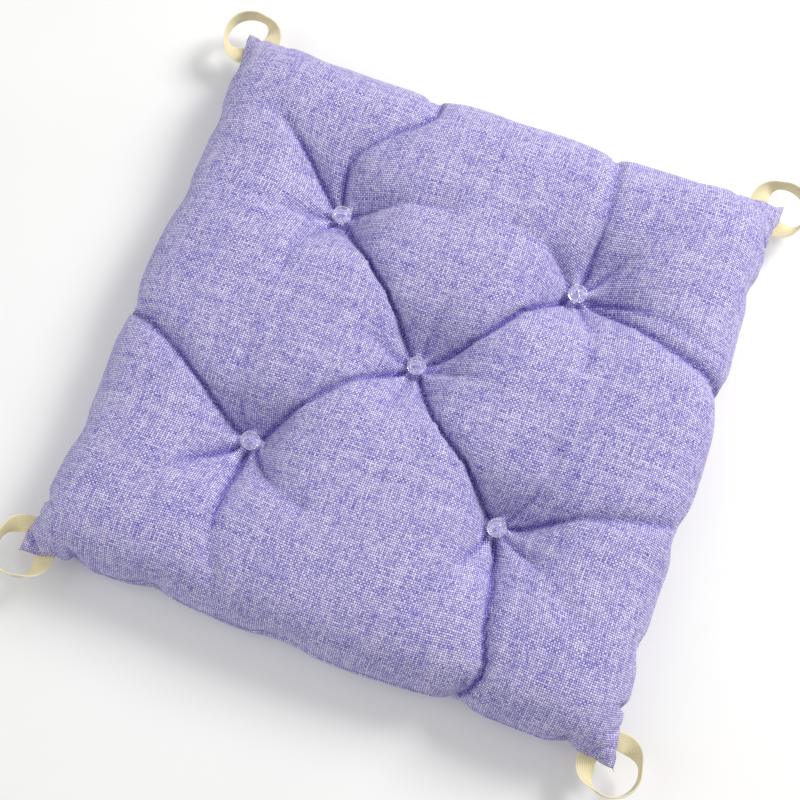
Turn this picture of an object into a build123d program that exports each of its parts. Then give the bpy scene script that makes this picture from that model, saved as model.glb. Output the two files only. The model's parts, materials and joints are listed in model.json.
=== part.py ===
from build123d import *
import os
from math import cos, pi, radians, sin, sqrt

# Tufted seat cushion: two cloth panels sewn edge to edge over a fibre filling, pulled
# together by five threads between pairs of clear buttons, with an elastic band across
# each corner. Millimetres, +Z up, the origin under the middle of the pad on the surface
# that it lies on. The front is -Y.

# ---- The padding and its cloth ----
WIDTH = 400.0  # corner tip to corner tip, along X
DEPTH = 400.0  # corner tip to corner tip, along Y
PAD_HEIGHT = 54.0  # the top of the padding between the tufts
SEAM_HEIGHT = 21.0  # the seam round the edge
SIDE_DIP = 7.0  # how far each side lies inside the line between its two tips
DIP_POWER = 6  # how straight a side runs before it flares to its tips
TOP_FLANK = 62.0  # width of the slope that rises from the seam to full height
BOTTOM_FLANK = 44.0  # width of the slope that falls from the seam to the flat underside
CLOTH = 1.2  # thickness of the cloth
FILLING_CLEARANCE = 0.4  # between the filling and everything round it

# ---- The seam ----
EDGE_WALL = 2.0  # width of the strip along which a panel bears on the seam allowance
ALLOWANCE = 8.0  # width of the turned-in seam allowance
THREAD_LINE = 0.8  # width of the line of sewing thread outside it
OPENING_LENGTH = 120.0  # the part of the back seam that is closed last, by hand
STITCH_PITCH = 6.0  # of the hand stitches in it
STITCH_THREAD = 0.7
STITCH_LEAN = 25.0  # degrees that each stitch leans along the seam

# ---- The tufts ----
TUFT_X = 84.0  # the outer tufts stand at plus and minus this
TUFT_Y = 84.0
TUFT_TOP = 33.0  # the cloth's height under an upper button
TUFT_BOTTOM = 8.0  # the cloth's height over a lower button
WELL_FLOOR = 10.0  # radius of the level floor of a well
WELL_RADIUS = 46.0  # where a well on top has run out
LOWER_WELL_RADIUS = 34.0
WELL_STEPS = 4  # straight steps in a well's side

# ---- Buttons and their thread ----
BUTTON_DIAMETER = 12.5
BUTTON_THICKNESS = 3.0  # at the rim
BUTTON_RIM = 1.7  # width of the raised rim
BUTTON_DISH = 1.1  # how far the middle lies below the rim
BUTTON_ROUND = 0.6  # rounding of the rim's edges
HOLE_DIAMETER = 1.9
HOLE_SPACING = 3.2  # between the centres of the two holes
THREAD_DIAMETER = 0.9
KNOT_DIAMETER = 1.8
SEAT_CLEARANCE = 0.5  # between a button and the cloth
CHANNEL_CLEARANCE = 0.6  # between the thread and the channel that it passes through

# ---- Corner bands ----
BAND_WIDTH = 12.0
BAND_THICKNESS = 1.2
BAND_RADIUS = 17.0  # of the loop round the tip
BAND_TURN = 270.0  # degrees of the loop, from one side's seam to the other's
BAND_TWIST = 75.0  # degrees of it over which the band turns up on edge
BAND_STEPS = 36
BAND_GAP = 0.4  # between the loop and the seam that it hangs from
SEWN_LENGTH = 7.0  # of band inside the seam

# ---- How finely the slopes of the padding are drawn ----
RINGS = 6
SIDE_SEGMENTS = 12

SEAM_GAP = BAND_THICKNESS  # the panels stand apart by what is sewn between them
half_size = Vector(WIDTH / 2, DEPTH / 2)
taller = 3 * PAD_HEIGHT  # longer than anything that passes through the pad


def rise(distance, run):
    """0 at the edge, growing to 1 where the slope of this width ends."""
    return 1.0 - max(0.0, 1.0 - distance / run) ** 3


def steepness(distance, run):
    """How fast rise grows with the distance."""
    return 3.0 / run * max(0.0, 1.0 - distance / run) ** 2


def plan(u, v):
    """The place of the point (u, v) of the pad, each from -1 to 1."""
    x = u * (half_size.X - SIDE_DIP * (1 - abs(v) ** DIP_POWER))
    y = v * (half_size.Y - SIDE_DIP * (1 - abs(u) ** DIP_POWER))
    return x, y


def ring(distance):
    """The points (u, v) of a closed ring that lies this far inside the seam."""
    reach_u = 1 - distance / half_size.X
    reach_v = 1 - distance / half_size.Y
    along = [sin(pi / 2 * (2 * i / SIDE_SEGMENTS - 1)) for i in range(SIDE_SEGMENTS)]
    front = [(reach_u * s, -reach_v) for s in along]
    right = [(reach_u, reach_v * s) for s in along]
    back = [(-reach_u * s, reach_v) for s in along]
    left = [(-reach_u, -reach_v * s) for s in along]
    return front + right + back + left


def slope_depth(u, v, run, height, thickness):
    """How far a slope has risen at (u, v), less a layer of this thickness."""
    across = (1 - abs(u)) * half_size.X
    along = (1 - abs(v)) * half_size.Y
    slope_x = height * steepness(across, run) * rise(along, run)
    slope_y = height * steepness(along, run) * rise(across, run)
    layer = thickness * sqrt(1 + slope_x**2 + slope_y**2)
    return height * rise(across, run) * rise(along, run) - layer


def quad(a, b, c, d):
    """A face on four corners, in order round it."""
    return Face.make_surface_from_curves(Edge.make_line(a, b), Edge.make_line(d, c))


def flat_polygon(points):
    return Face(Wire([Edge.make_line(a, b) for a, b in zip(points, points[1:] + points[:1])]))


def solid_between_loops(loops):
    """The solid that closed loops of points bound, with the first and last filled in."""
    faces = [flat_polygon(loops[0]), flat_polygon(loops[-1])]
    for low, high in zip(loops, loops[1:]):
        low_next, high_next = low[1:] + low[:1], high[1:] + high[:1]
        faces += [quad(*corners) for corners in zip(low, low_next, high_next, high)]
    solid = Solid(Shell(faces))
    return solid if solid.volume > 0 else Solid(-Shell(faces))


def dome(start, base, edge, crown, run, thickness):
    """One half of the padding, on a flat base, less a layer of this thickness.

    It starts this far inside the seam. Its outer face would leave the seam at the height
    edge and reach crown, upwards or downwards.
    """
    up = 1 if crown > edge else -1
    inner_reach = [start + (run - start) * i / RINGS for i in range(RINGS + 1)]
    loops = [[(*plan(u, v), base) for u, v in ring(start)]]
    for distance in inner_reach:
        loops.append(
            [
                (*plan(u, v), edge + up * slope_depth(u, v, run, abs(crown - edge), thickness))
                for u, v in ring(distance)
            ]
        )
    return solid_between_loops(loops)


def well_side(floor, crown, run, thickness):
    """Points (radius, height) up the side of a tuft's well, less a layer of this thickness."""
    up = 1 if crown > floor else -1
    points = []
    for step in range(WELL_STEPS + 1):
        share = step / WELL_STEPS
        height = floor + (crown - floor) * (1 - cos(pi * share)) / 2
        slope = pi / 2 * (crown - floor) / (run - WELL_FLOOR) * sin(pi * share)
        layer = thickness * sqrt(1 + slope**2)
        points.append((WELL_FLOOR + (run - WELL_FLOOR) * share, height - up * layer))
    return points


def turned(outline):
    """The solid that an outline of points (radius, height) turns round the Z axis."""
    return revolve(Plane.XZ * make_face(Polyline(*outline, close=True)), Axis.Z)


def well(floor, crown, run, thickness):
    """What a tuft takes out of the padding, grown by a layer of this thickness."""
    side = well_side(floor, crown, run, thickness)
    beyond = crown + (crown - floor)
    return turned([(0, side[0][1])] + side + [(run, beyond), (0, beyond)])


def well_cloth(floor, crown, run):
    """The cloth of a well, with the hole for its thread."""
    outer = well_side(floor, crown, run, 0)
    inner = well_side(floor, crown, run, CLOTH)
    rims = [(channel_radius, inner[0][1]), (channel_radius, outer[0][1])]
    return turned(rims + outer + inner[::-1])


TUFTS = {  # x, y and how far the buttons are turned, in degrees
    "centre": (0.0, 0.0, 25.0),
    "front_left": (-TUFT_X, -TUFT_Y, -40.0),
    "front_right": (TUFT_X, -TUFT_Y, 70.0),
    "back_left": (-TUFT_X, TUFT_Y, 10.0),
    "back_right": (TUFT_X, TUFT_Y, -65.0),
}


def at_tufts(shape):
    return [Pos(x, y, 0) * shape for x, y, turn in TUFTS.values()]


top_edge = SEAM_HEIGHT + SEAM_GAP / 2 + CLOTH
bottom_edge = SEAM_HEIGHT - SEAM_GAP / 2 - CLOTH
channel_radius = HOLE_SPACING / 2 + THREAD_DIAMETER / 2 + CHANNEL_CLEARANCE


def panel(base, edge, crown, run, floor, well_radius):
    """A cloth panel with the five wells and their holes."""
    inward = -1 if crown > edge else 1
    outer = dome(0, base, edge, crown, run, 0)
    inner = dome(EDGE_WALL, base + inward * CLOTH, edge, crown, run, CLOTH)
    sheet = outer - inner - at_tufts(Cylinder(well_radius, taller))
    return sheet + at_tufts(well_cloth(floor, crown, well_radius))


def filling():
    """The fibre filling, with a channel for each thread."""
    start = ALLOWANCE + FILLING_CLEARANCE
    layer = CLOTH + FILLING_CLEARANCE
    upper = dome(start, SEAM_HEIGHT, top_edge, PAD_HEIGHT, TOP_FLANK, layer)
    upper -= at_tufts(well(TUFT_TOP, PAD_HEIGHT, WELL_RADIUS, layer))
    lower = dome(start, SEAM_HEIGHT, bottom_edge, 0, BOTTOM_FLANK, layer)
    lower -= at_tufts(well(TUFT_BOTTOM, 0, LOWER_WELL_RADIUS, layer))
    return upper + lower - at_tufts(Cylinder(channel_radius, taller))


def seam_strip(outer, inner):
    """A flat strip round the seam, between two distances inside it."""
    base = SEAM_HEIGHT - SEAM_GAP / 2
    rims = [[(*plan(u, v), base) for u, v in ring(reach)] for reach in (outer, inner)]
    strip = extrude(flat_polygon(rims[0]) - flat_polygon(rims[1]), SEAM_GAP, dir=(0, 0, 1))
    return strip - [part for corner in CORNERS for part in band_ends(corner)]


def closing_stitches():
    """Hand stitches over the edge of the opening in the back seam."""
    height = SEAM_GAP + 2 * CLOTH
    length = height / cos(radians(STITCH_LEAN))
    stitch = Cylinder(STITCH_THREAD / 2, length) + Pos(0, 0, length / 2) * Sphere(STITCH_THREAD / 2)
    stitch += Pos(0, 0, -length / 2) * Sphere(STITCH_THREAD / 2)
    count = int(OPENING_LENGTH / STITCH_PITCH)
    stitches = []
    for i in range(count + 1):
        x, y = plan((i - count / 2) * STITCH_PITCH / half_size.X, 1)
        place = Pos(x, y + STITCH_THREAD / 2, SEAM_HEIGHT)
        stitches.append(place * Rot(0, STITCH_LEAN, 0) * stitch)
    return Compound(stitches)


def button():
    """A round button with a raised rim, standing on its flat face at the origin."""
    radius = BUTTON_DIAMETER / 2
    dish = radius - BUTTON_RIM
    floor = BUTTON_THICKNESS - BUTTON_DISH
    outline = [
        (0, 0),
        (radius, 0),
        (radius, BUTTON_THICKNESS),
        (dish, BUTTON_THICKNESS),
        (dish - BUTTON_DISH / 2, floor),
        (0, floor),
    ]
    disc = turned(outline)
    rims = disc.edges().filter_by(GeomType.CIRCLE).filter_by(
        lambda edge: edge.radius > dish - BUTTON_ROUND / 2
    )
    disc = fillet(rims, BUTTON_ROUND)
    return disc - [Pos(x, 0, 0) * Cylinder(HOLE_DIAMETER / 2, taller) for x in hole_places]


def tuft_thread():
    """Two strands between the buttons of a tuft, joined across each and knotted below."""
    radius = THREAD_DIAMETER / 2
    strand = Pos(0, 0, (thread_top + thread_bottom) / 2) * Cylinder(
        radius, thread_top - thread_bottom
    )
    thread = Pos(0, 0, thread_bottom - KNOT_DIAMETER / 2 + radius) * Sphere(KNOT_DIAMETER / 2)
    for x in hole_places:
        thread += Pos(x, 0, 0) * strand
    for z in (thread_bottom, thread_top):
        thread += Pos(0, 0, z) * Rot(0, 90, 0) * Cylinder(radius, HOLE_SPACING)
        thread += [Pos(x, 0, z) * Sphere(radius) for x in hole_places]
    return thread


def band_middle():
    """The centre of the loop at the back right corner."""
    near = BAND_RADIUS - BAND_WIDTH / 2
    x = plan(1, 1 - near / half_size.Y)[0] + BAND_GAP
    y = plan(1 - near / half_size.X, 1)[1] + BAND_GAP
    return Vector(x, y, SEAM_HEIGHT)


def band_loop():
    """The elastic band round the back right tip, flat at the seams and on edge between."""
    loops = []
    for step in range(BAND_STEPS + 1):
        turn = BAND_TURN * step / BAND_STEPS
        share = min(1.0, min(turn, BAND_TURN - turn) / BAND_TWIST)
        tilt = radians(90 * share * share * (3 - 2 * share))
        outward = Vector(-cos(radians(turn)), sin(radians(turn)), 0)
        across = outward * cos(tilt) + Vector(0, 0, 1) * sin(tilt)
        through = Vector(0, 0, 1) * cos(tilt) - outward * sin(tilt)
        middle = band_middle() + outward * BAND_RADIUS
        half_across, half_through = across * BAND_WIDTH / 2, through * BAND_THICKNESS / 2
        loops.append(
            [
                middle + half_across + half_through,
                middle - half_across + half_through,
                middle - half_across - half_through,
                middle + half_across - half_through,
            ]
        )
    return solid_between_loops(loops)


CORNERS = {  # the planes that carry the back right corner to each of the others
    "back_right": [],
    "back_left": [Plane.YZ],
    "front_right": [Plane.XZ],
    "front_left": [Plane.YZ, Plane.XZ],
}


def at_corner(shape, corner):
    for plane in CORNERS[corner]:
        shape = mirror(shape, about=plane)
    return shape


def band_ends(corner):
    """The two ends of a band that are sewn into the seams beside a tip."""
    middle = band_middle()
    inside = BAND_GAP + SEWN_LENGTH / 2
    along_back = Pos(middle.X - BAND_RADIUS, middle.Y - inside, SEAM_HEIGHT)
    along_side = Pos(middle.X - inside, middle.Y - BAND_RADIUS, SEAM_HEIGHT)
    ends = [
        along_back * Box(BAND_WIDTH, SEWN_LENGTH, BAND_THICKNESS),
        along_side * Box(SEWN_LENGTH, BAND_WIDTH, BAND_THICKNESS),
    ]
    return [at_corner(end, corner) for end in ends]


hole_places = (-HOLE_SPACING / 2, HOLE_SPACING / 2)
button_floor = BUTTON_THICKNESS - BUTTON_DISH
upper_seat = TUFT_TOP + SEAT_CLEARANCE
lower_seat = TUFT_BOTTOM - SEAT_CLEARANCE
thread_top = upper_seat + button_floor + THREAD_DIAMETER / 2
thread_bottom = lower_seat - button_floor - THREAD_DIAMETER / 2

os.makedirs("parts", exist_ok=True)


def save(shape, node):
    shape.label = node
    export_step(shape, f"parts/{node}.step")


top_base, bottom_base = top_edge - CLOTH, bottom_edge + CLOTH
save(panel(top_base, top_edge, PAD_HEIGHT, TOP_FLANK, TUFT_TOP, WELL_RADIUS), "top_panel")
save(
    panel(bottom_base, bottom_edge, 0, BOTTOM_FLANK, TUFT_BOTTOM, LOWER_WELL_RADIUS),
    "bottom_panel",
)
save(filling(), "filling")
save(seam_strip(THREAD_LINE, ALLOWANCE), "seam_allowance")
save(seam_strip(0, THREAD_LINE), "seam_thread")
save(closing_stitches(), "closing_stitches")

for name, (x, y, turn) in TUFTS.items():
    place = Pos(x, y, 0) * Rot(0, 0, turn)
    save(place * Pos(0, 0, upper_seat) * button(), f"button_top_{name}")
    save(place * Pos(0, 0, lower_seat) * Rot(180, 0, 0) * button(), f"button_bottom_{name}")
    save(place * tuft_thread(), f"tuft_thread_{name}")

for name in CORNERS:
    save(at_corner(band_loop(), name), f"band_{name}")
    save(Compound(band_ends(name)), f"band_ends_{name}")
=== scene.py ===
import json
import math

import bpy
import numpy as np
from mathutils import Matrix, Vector

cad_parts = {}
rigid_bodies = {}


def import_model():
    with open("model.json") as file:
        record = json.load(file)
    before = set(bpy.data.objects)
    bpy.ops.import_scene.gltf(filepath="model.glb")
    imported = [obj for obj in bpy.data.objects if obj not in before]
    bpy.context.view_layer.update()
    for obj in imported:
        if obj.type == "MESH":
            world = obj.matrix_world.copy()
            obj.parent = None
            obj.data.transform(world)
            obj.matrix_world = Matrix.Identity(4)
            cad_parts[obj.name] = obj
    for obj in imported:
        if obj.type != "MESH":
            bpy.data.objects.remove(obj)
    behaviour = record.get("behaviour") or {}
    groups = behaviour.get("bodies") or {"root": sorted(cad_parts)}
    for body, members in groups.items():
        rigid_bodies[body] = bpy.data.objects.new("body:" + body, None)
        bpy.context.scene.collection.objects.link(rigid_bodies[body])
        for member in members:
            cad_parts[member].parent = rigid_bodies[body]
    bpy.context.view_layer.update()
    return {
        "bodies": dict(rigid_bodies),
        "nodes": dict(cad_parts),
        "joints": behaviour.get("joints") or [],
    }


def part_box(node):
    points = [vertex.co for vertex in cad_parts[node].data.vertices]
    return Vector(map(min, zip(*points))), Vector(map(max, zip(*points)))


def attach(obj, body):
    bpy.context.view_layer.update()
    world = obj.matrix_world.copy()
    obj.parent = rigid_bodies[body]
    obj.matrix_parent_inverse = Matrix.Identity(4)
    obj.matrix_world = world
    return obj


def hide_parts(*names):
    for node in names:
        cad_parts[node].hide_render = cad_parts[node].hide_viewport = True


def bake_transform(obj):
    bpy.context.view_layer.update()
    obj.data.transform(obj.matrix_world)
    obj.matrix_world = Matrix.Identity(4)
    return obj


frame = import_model()

bl_info = {
    "name": "Tufted Seat Pad",
    "version": (1, 0, 0),
    "blender": (4, 5, 0),
    "location": "View3D > Sidebar > Seat Pad",
    "description": "Makes a square tufted seat pad with clear buttons and elastic corner bands",
    "category": "Add Mesh",
}

MM = 0.001

# Corners and tufts are named by where they stand on the pad.
CORNERS = sorted(name[5:] for name in frame["bodies"] if name.startswith("band_"))
TUFTS = sorted(name[5:] for name in frame["bodies"] if name.startswith("tuft_"))

PANEL_LOW, PANEL_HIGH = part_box("top_panel")
UNDER_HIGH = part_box("bottom_panel")[1]
HALF_X = PANEL_HIGH.x
HALF_Y = PANEL_HIGH.y
CROWN = PANEL_HIGH.z
SEAM_Z = (PANEL_LOW.z + UNDER_HIGH.z) / 2
SIDE_DIP = 7 * MM  # how far the middle of a side stands in from its tips
DIP_POWER = 6  # how straight a side runs before it flares to its tips
EVEN = 0.99426  # spacing of the grid in the middle of a side, as a share of even spacing
TUFT_AT = {}
for _name in TUFTS:
    _low, _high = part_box("button_top_" + _name)
    TUFT_AT[_name] = ((_low.x + _high.x) / 2, (_low.y + _high.y) / 2)
BUTTON_LOW, BUTTON_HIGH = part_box("button_top_" + TUFTS[0])
BUTTON_RADIUS = (BUTTON_HIGH.x - BUTTON_LOW.x) / 2
TUFT_TOP = BUTTON_LOW.z - 0.5 * MM  # the cloth's height under an upper button
TUFT_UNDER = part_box("button_bottom_" + TUFTS[0])[1].z + 0.5 * MM  # and over a lower one
TUFT_REACH = max(place[0] for place in TUFT_AT.values())
TUFT_SHARE = 0.4375  # where an outer tuft goes through the flat cloth, as a share of half its side

# The padding as the cloth starts on it, in m.
WELL_FLOOR = 0.006  # radius of the level cloth at a tuft
WELL_TOP = 0.050  # radius where a well on top has run out
WELL_UNDER = 0.030  # and underneath
TOP_FLANK = 0.062  # width of the slope from the seam to full height
UNDER_FLANK = 0.044  # width of the slope from the seam to the flat underside

# How the cloth settles.
FOLD_SLACK = 0.55 * MM  # spare cloth in each fold's walls, for each cell of the grid
FOLD_REACH = 0.0021  # half width of the painted shade along a fold
FLOOR_GAP = 0.0004  # least height of the lower sheet
LEAST_TOP = 0.0022  # least height of the upper sheet
JITTER = 0.0005  # spread of the random heights that start the small folds
KEPT_SPEED = 0.88  # share of its speed that the cloth keeps from round to round
PUSH = 1e-5  # the filling's push in a round at a fullness of 1, on a grid of 96 cells
CROWN_OVER = 0.003  # how far above the crown the filling stops pushing
CROWN_FADE = 0.010  # over which its push fades
HOLD_REACH = 0.0015  # half width of the strip that a crease holds down
FULL_DEPTH = 0.005  # a crease this deep holds its strip with all its strength
RIM_GAP = 1.1 * MM  # between a button and the loose cloth beside it
SEAM_GROOVE = 1.4 * MM  # how far the stitched seam is drawn in
SEAM_SHADE = 0.7  # how much of the folds' painted shade the seam line gets

# The finest grid has 192 cells a side. Each level is its cells and its rounds.
LEVELS = [(48, 160), (96, 150), (192, 110)]

STITCHES = 21
BAND_RADIUS = 0.017  # of the loop round a tip
BAND_TURN = math.radians(270)  # of the loop, from one side's seam to the other's
BAND_TWIST = math.radians(75)  # of it over which the band turns up on edge
BAND_STEPS = 150

# The creases the tufts draw in the top cloth, in mm: points, the depth at each point, and the width.
CREASES = [
    ([(0, 0), (-26, 30), (-50, 52), (-84, 84)], [12, 9, 10, 12], 3.0),
    ([(0, 0), (28, 24), (56, 58), (84, 84)], [12, 8, 8, 12], 3.0),
    ([(0, 0), (-30, -22), (-58, -52), (-84, -84)], [12, 6, 7, 12], 3.0),
    ([(0, 0), (22, -30), (52, -54), (84, -84)], [12, 8, 9, 12], 3.0),
    ([(-84, 84), (-86, 114), (-70, 135), (-45, 162), (-50, 192)], [14, 7, 6, 7, 7], 2.8),
    ([(-84, 84), (-126, 118), (-139, 125)], [14, 6, 1], 2.8),
    ([(84, 84), (82, 124), (78, 178), (76, 192)], [14, 6, 5, 6], 2.8),
    ([(84, 84), (135, 62), (182, 50), (193, 47)], [14, 7, 7, 6], 2.6),
    ([(84, 84), (132, 78), (170, 66)], [14, 5, 2], 2.8),
    ([(-84, -84), (-129, -50), (-161, -32), (-192, -25)], [14, 8, 7, 6], 2.8),
    ([(-84, -84), (-78, -142), (-65, -166)], [14, 5, 3], 3.0),
    ([(-84, -84), (-113, -106), (-132, -128)], [14, 5, 1], 2.8),
    ([(84, -84), (122, -61), (178, -44)], [14, 6, 4], 2.8),
    ([(84, -84), (90, -136), (97, -164), (91, -192)], [14, 11, 10, 9], 3.0),
    ([(84, -84), (120, -100), (140, -120)], [9, 3, 1], 2.8),
]
PUCKERS = [
    [(-84, 84), (-110, 70), (-135, 66)],
    [(-84, 84), (-40, 96), (-14, 100)],
    [(84, 84), (50, 100), (24, 104)],
    [(84, 84), (110, 120), (126, 140)],
    [(84, -84), (60, -112), (48, -136)],
    [(-84, -84), (-50, -104), (-30, -110)],
    [(-84, -84), (-96, -50), (-98, -24)],
    [(-84, 84), (-96, 50), (-98, 24)],
    [(84, 84), (96, 50), (98, 24)],
    [(84, -84), (96, -50), (98, -24)],
    [(0, 0), (-4, -26), (-2, -44)],
    [(0, 0), (30, 2), (46, -2)],
    [(0, 0), (-28, 4), (-44, 6)],
    [(0, 0), (3, 28), (-2, 46)],
]
CREASES += [(points, [9, 3, 1], 2.6) for points in PUCKERS]

# Where each side's seam is gathered, in mm: the place along it, how far it's drawn in, its half width.
GATHERS = {
    "front": [(91, 8.0, 8), (-106, 5.0, 9), (164, 4.5, 7), (-20, 2.5, 12), (-158, 3.5, 6)],
    "back": [(-50, 5.5, 9), (76, 4.5, 9), (10, 2.0, 12), (132, 2.5, 8), (-130, 2.5, 9)],
    "left": [(-25, 5.5, 9), (60, 2.5, 10), (120, 2.5, 9), (-110, 3.5, 9)],
    "right": [(48, 5.0, 8), (-46, 4.5, 9), (-120, 3.5, 8), (125, 2.5, 8)],
}


def length_of(name, description, default, low, high):
    return bpy.props.FloatProperty(
        name=name,
        description=description,
        default=default,
        min=low,
        max=high,
        precision=5,
        unit="LENGTH",
        subtype="DISTANCE",
    )


def number_of(name, description, default, low, high):
    return bpy.props.FloatProperty(
        name=name, description=description, default=default, min=low, max=high
    )


def angle_of(name, description, degrees):
    return bpy.props.FloatProperty(
        name=name, description=description, default=math.radians(degrees), subtype="ANGLE"
    )


def colour_of(name, description, default):
    return bpy.props.FloatVectorProperty(
        name=name, description=description, default=default, size=3, min=0.0, max=1.0, subtype="COLOR"
    )


class ClothSizes(bpy.types.PropertyGroup):
    flat_side: length_of("Flat side", "Side of each square panel before sewing", 0.418, 0.402, 0.45)
    fullness: number_of("Fullness", "How hard the filling pushes the cloth out", 3.0, 0.5, 8.0)
    seed: bpy.props.IntProperty(
        name="Seed", description="Picks the small folds of the cloth", default=5, min=0
    )
    yarn_pitch: length_of("Yarn pitch", "Distance between neighbouring yarns", 0.00135, 0.0004, 0.004)
    light_yarn: colour_of("Light yarn", "Palest lilac of the yarn-dyed cloth", (0.80, 0.76, 0.97))
    dark_yarn: colour_of("Dark yarn", "Deepest violet of the yarn-dyed cloth", (0.17, 0.125, 0.60))


class BandSizes(bpy.types.PropertyGroup):
    sewn_in: length_of("Sewn in", "Length of each band end held inside the seam", 0.007, 0.002, 0.012)
    ribs: bpy.props.IntProperty(
        name="Ribs", description="Rubber-cored ribs across the band", default=9, min=3, max=20
    )
    pale: colour_of("Pale", "Cream of the raised ribs", (0.86, 0.79, 0.52))
    # The shade colour is painted shade in the grooves between the ribs and in the weave's gaps, and also
    # the tan of the band's yellowing blotches.
    shade: colour_of("Shade", "Tan between the ribs", (0.58, 0.47, 0.22))


class ThreadSizes(bpy.types.PropertyGroup):
    diameter: length_of("Stitch thread", "Diameter of the closing thread", 0.0007, 0.0002, 0.002)
    colour: colour_of("Thread colour", "Colour of the tufting and closing threads", (0.46, 0.41, 0.78))


class ButtonSizes(bpy.types.PropertyGroup):
    tint: colour_of("Tint", "Faint cool tint of the clear plastic", (0.97, 0.97, 1.0))
    index: number_of("Index of refraction", "Index of refraction of the plastic", 1.49, 1.3, 1.7)


class StageSizes(bpy.types.PropertyGroup):
    azimuth: angle_of("Azimuth", "Camera's turn, from the pad's front to its right", 19.9)
    elevation: angle_of("Elevation", "Camera's height above the pad", 73.7)
    distance: length_of("Distance", "Camera's distance from its target", 0.8436, 0.1, 10.0)
    target: bpy.props.FloatVectorProperty(
        name="Target",
        description="Point the camera looks at",
        default=(-0.0028, -0.0244, 0.030),
        size=3,
        unit="LENGTH",
        subtype="XYZ",
    )
    lens: number_of("Lens", "Focal length in mm", 58.0, 20.0, 200.0)
    floor: colour_of("Floor", "Colour of the pale floor", (0.88, 0.88, 0.875))
    daylight: number_of("Daylight", "Strength of the soft surrounding light", 0.56, 0.0, 10.0)
    key: number_of("Key light", "Power of the large soft lamp", 30.0, 0.0, 1000.0)


# ---- shader helpers


class Graph:
    """Short calls for making the nodes of a material or a node group."""

    def __init__(self, tree):
        self.tree = tree

    def node(self, kind, **settings):
        made = self.tree.nodes.new(kind)
        for key, value in settings.items():
            setattr(made, key, value)
        return made

    def put(self, socket, value):
        if isinstance(value, bpy.types.NodeSocket):
            self.tree.links.new(value, socket)
        elif value is not None:
            socket.default_value = value

    def fed(self, made, values):
        """A node's first output, once its inputs are given these values in order."""
        for socket, value in zip(made.inputs, values):
            self.put(socket, value)
        return made.outputs[0]

    def maths(self, operation, *values, clamp=False):
        return self.fed(self.node("ShaderNodeMath", operation=operation, use_clamp=clamp), values)

    def vector(self, operation, *values):
        return self.fed(self.node("ShaderNodeVectorMath", operation=operation), values)

    def scaled(self, vector, scale):
        made = self.node("ShaderNodeVectorMath", operation="SCALE")
        self.put(made.inputs[0], vector)
        self.put(made.inputs["Scale"], scale)
        return made.outputs[0]

    def joined(self, x, y, z=0.0):
        return self.fed(self.node("ShaderNodeCombineXYZ"), (x, y, z))

    def split(self, vector):
        made = self.node("ShaderNodeSeparateXYZ")
        self.put(made.inputs[0], vector)
        return made.outputs

    def named(self, made, output, **values):
        """A node's named output, once its named inputs are given these values."""
        for key, value in values.items():
            self.put(made.inputs[key.replace("_", " ").title()], value)
        return made.outputs[output]

    def noise(self, vector, scale, detail=2.0, rough=0.5):
        made = self.node("ShaderNodeTexNoise", noise_dimensions="3D")
        return self.named(made, "Fac", vector=vector, scale=scale, detail=detail, roughness=rough)

    def chance(self, value):
        return self.named(self.node("ShaderNodeTexWhiteNoise", noise_dimensions="1D"), "Value", w=value)

    def ranged(self, value, low, high, to_low=0.0, to_high=1.0, smooth=True):
        made = self.node("ShaderNodeMapRange", clamp=True)
        made.interpolation_type = "SMOOTHSTEP" if smooth else "LINEAR"
        ends = {"from_min": low, "from_max": high, "to_min": to_low, "to_max": to_high}
        return self.named(made, "Result", value=value, **ends)

    def mixed(self, share, first, second, blend="MIX"):
        made = self.node("ShaderNodeMix", data_type="RGBA", blend_type=blend)
        self.put(made.inputs["Factor"], share)
        for socket, value in ((made.inputs["A"], first), (made.inputs["B"], second)):
            colours = [s for s in made.inputs if s.name == socket.name and s.type == "RGBA"]
            if not isinstance(value, bpy.types.NodeSocket):
                value = (*value[:3], 1.0)
            self.put(colours[0], value)
        return [s for s in made.outputs if s.type == "RGBA"][0]

    def mix_value(self, share, first, second):
        made = self.node("ShaderNodeMix", data_type="FLOAT")
        return self.named(made, "Result", factor=share, a=first, b=second)

    def bump(self, height, distance, strength=1.0):
        made = self.node("ShaderNodeBump")
        return self.named(made, "Normal", height=height, distance=distance, strength=strength)

    def group(self, name, **values):
        made = self.node("ShaderNodeGroup")
        made.node_tree = bpy.data.node_groups[name]
        for key, value in values.items():
            self.put(made.inputs[key.replace("_", " ").title()], value)
        return made.outputs


def new_group(name, inputs, outputs):
    """An empty shader group, with its input and output nodes.

    Its inputs are a place and then numbers, given with their defaults, and its outputs are numbers."""
    tree = bpy.data.node_groups.new(name, "ShaderNodeTree")
    for label, default in inputs.items():
        kind = "NodeSocketVector" if default is None else "NodeSocketFloat"
        socket = tree.interface.new_socket(name=label, in_out="INPUT", socket_type=kind)
        if default is not None:
            socket.default_value = default
    for label in outputs:
        tree.interface.new_socket(name=label, in_out="OUTPUT", socket_type="NodeSocketFloat")
    given = tree.nodes.new("NodeGroupInput").outputs
    return Graph(tree), given, tree.nodes.new("NodeGroupOutput").inputs


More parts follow.
